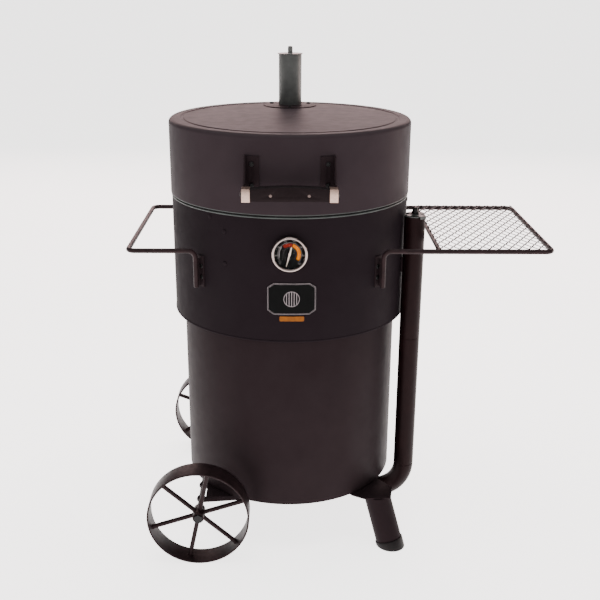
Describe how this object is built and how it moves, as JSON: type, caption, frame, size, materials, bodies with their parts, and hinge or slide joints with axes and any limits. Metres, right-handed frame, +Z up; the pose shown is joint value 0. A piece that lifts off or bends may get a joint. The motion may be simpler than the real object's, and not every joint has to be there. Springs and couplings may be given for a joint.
{
  "type": "drum smoker",
  "caption": "Vertical charcoal drum smoker with a wider cooking chamber, lift-off lid with stack, air pipe with damper, wheels, legs, hand rail and mesh side shelf.",
  "frame": {"origin": "on the ground under the middle of the whole outline; the drum's axis stands at x -103 mm, y +18 mm", "axes": "+Z up, -Y towards the front with the dial and handle, +X towards the side shelf"},
  "size_m": [0.868, 0.6, 1.0485],
  "materials": {
    "black_enamel": "satin high-temperature black paint",
    "grey_enamel": "satin dark grey high-temperature paint",
    "rod_enamel": "satin black paint on bent rod",
    "porcelain": "gloss black porcelain enamel",
    "steel": "brushed stainless steel",
    "zinc": "zinc plated",
    "dial_face": "matt black printed dial",
    "needle_white": "white painted pointer",
    "glass": "flat clear glass",
    "badge_black": "black plate with a bright edge",
    "tag_orange": "orange enamel",
    "gasket": "woven glass-fibre cord",
    "grip_plastic": "moulded heat-resistant plastic",
    "foot_plastic": "moulded plastic"
  },
  "bodies": {
    "smoker": {"lower_drum": "black_enamel", "drum_floor": "black_enamel", "belly_shell": "black_enamel", "belly_rim": "grey_enamel", "grate_brackets": "porcelain", "bracket_bolts": "black_enamel", "gauge_case": "grey_enamel", "gauge_stem": "steel", "gauge_nut": "zinc", "gauge_dial": "dial_face", "gauge_glass": "glass", "gauge_bezel": "steel", "name_badge": "badge_black", "badge_tag": "tag_orange", "left_rail": "rod_enamel", "shelf_frame": "rod_enamel", "shelf_cross_bar": "rod_enamel", "shelf_mesh": "rod_enamel", "rail_plates": "black_enamel", "rail_screws": "black_enamel", "intake_pipe_upper": "black_enamel", "pipe_sleeve": "grey_enamel", "intake_pipe_lower": "black_enamel", "intake_elbow": "black_enamel", "intake_run": "black_enamel", "intake_riser": "black_enamel", "pipe_standoff": "black_enamel", "damper_plate": "grey_enamel", "damper_nut": "black_enamel", "front_leg": "black_enamel", "rear_leg": "black_enamel", "foot_caps": "foot_plastic", "leg_brackets": "black_enamel", "axle_brackets": "black_enamel", "axle": "rod_enamel", "axle_nuts": "grey_enamel"},
    "needle": {"gauge_needle": "needle_white"},
    "damper": {"damper_rotor": "grey_enamel"},
    "front_wheel": {"front_wheel_rim": "rod_enamel", "front_wheel_spokes": "rod_enamel", "front_wheel_hub": "rod_enamel"},
    "rear_wheel": {"rear_wheel_rim": "rod_enamel", "rear_wheel_spokes": "rod_enamel", "rear_wheel_hub": "rod_enamel"},
    "lid": {"lid_shell": "black_enamel", "lid_lip": "black_enamel", "lid_gasket": "gasket", "handle_brackets": "black_enamel", "handle_grip": "grip_plastic", "handle_ferrules": "steel", "handle_bolts": "black_enamel", "stack_tube": "grey_enamel", "stack_flange": "black_enamel", "stack_screws": "black_enamel", "stack_bridge": "grey_enamel"},
    "cap": {"stack_cap": "grey_enamel"},
    "grate": {"cooking_grate": "porcelain"},
    "basket": {"charcoal_basket": "porcelain", "ash_pan": "porcelain"},
    "bail": {"basket_bail": "zinc"}
  },
  "joints": [
    {"name": "lid_lift", "type": "slide", "parent": "smoker", "child": "lid", "axis": [0, 0, 1], "range_m": [0, 0.35]},
    {"name": "cap_screw", "type": "slide", "parent": "lid", "child": "cap", "axis": [0, 0, 1], "range_m": [0, 0.02]},
    {"name": "damper_turn", "type": "hinge", "parent": "smoker", "child": "damper", "pos_m": [0.15985, -0.07251, 0.713], "axis": [0, 0, 1], "range_deg": [-9, 36]},
    {"name": "front_wheel_spin", "type": "hinge", "parent": "smoker", "child": "front_wheel", "pos_m": [-0.296, -0.2397, 0.1086], "axis": [0, 1, 0], "continuous": true},
    {"name": "rear_wheel_spin", "type": "hinge", "parent": "smoker", "child": "rear_wheel", "pos_m": [-0.296, 0.2757, 0.1086], "axis": [0, 1, 0], "continuous": true},
    {"name": "needle_turn", "type": "hinge", "parent": "smoker", "child": "needle", "pos_m": [-0.103, -0.244, 0.688], "axis": [0, 1, 0], "range_deg": [0, 270]},
    {"name": "grate_lift", "type": "slide", "parent": "smoker", "child": "grate", "axis": [0, 0, 1], "range_m": [0, 0.045]},
    {"name": "basket_lift", "type": "slide", "parent": "smoker", "child": "basket", "axis": [0, 0, 1], "range_m": [0, 0.18]},
    {"name": "bail_swing", "type": "hinge", "parent": "basket", "child": "bail", "pos_m": [-0.103, 0.018, 0.323], "axis": [1, 0, 0], "range_deg": [0, 180]}
  ]
}
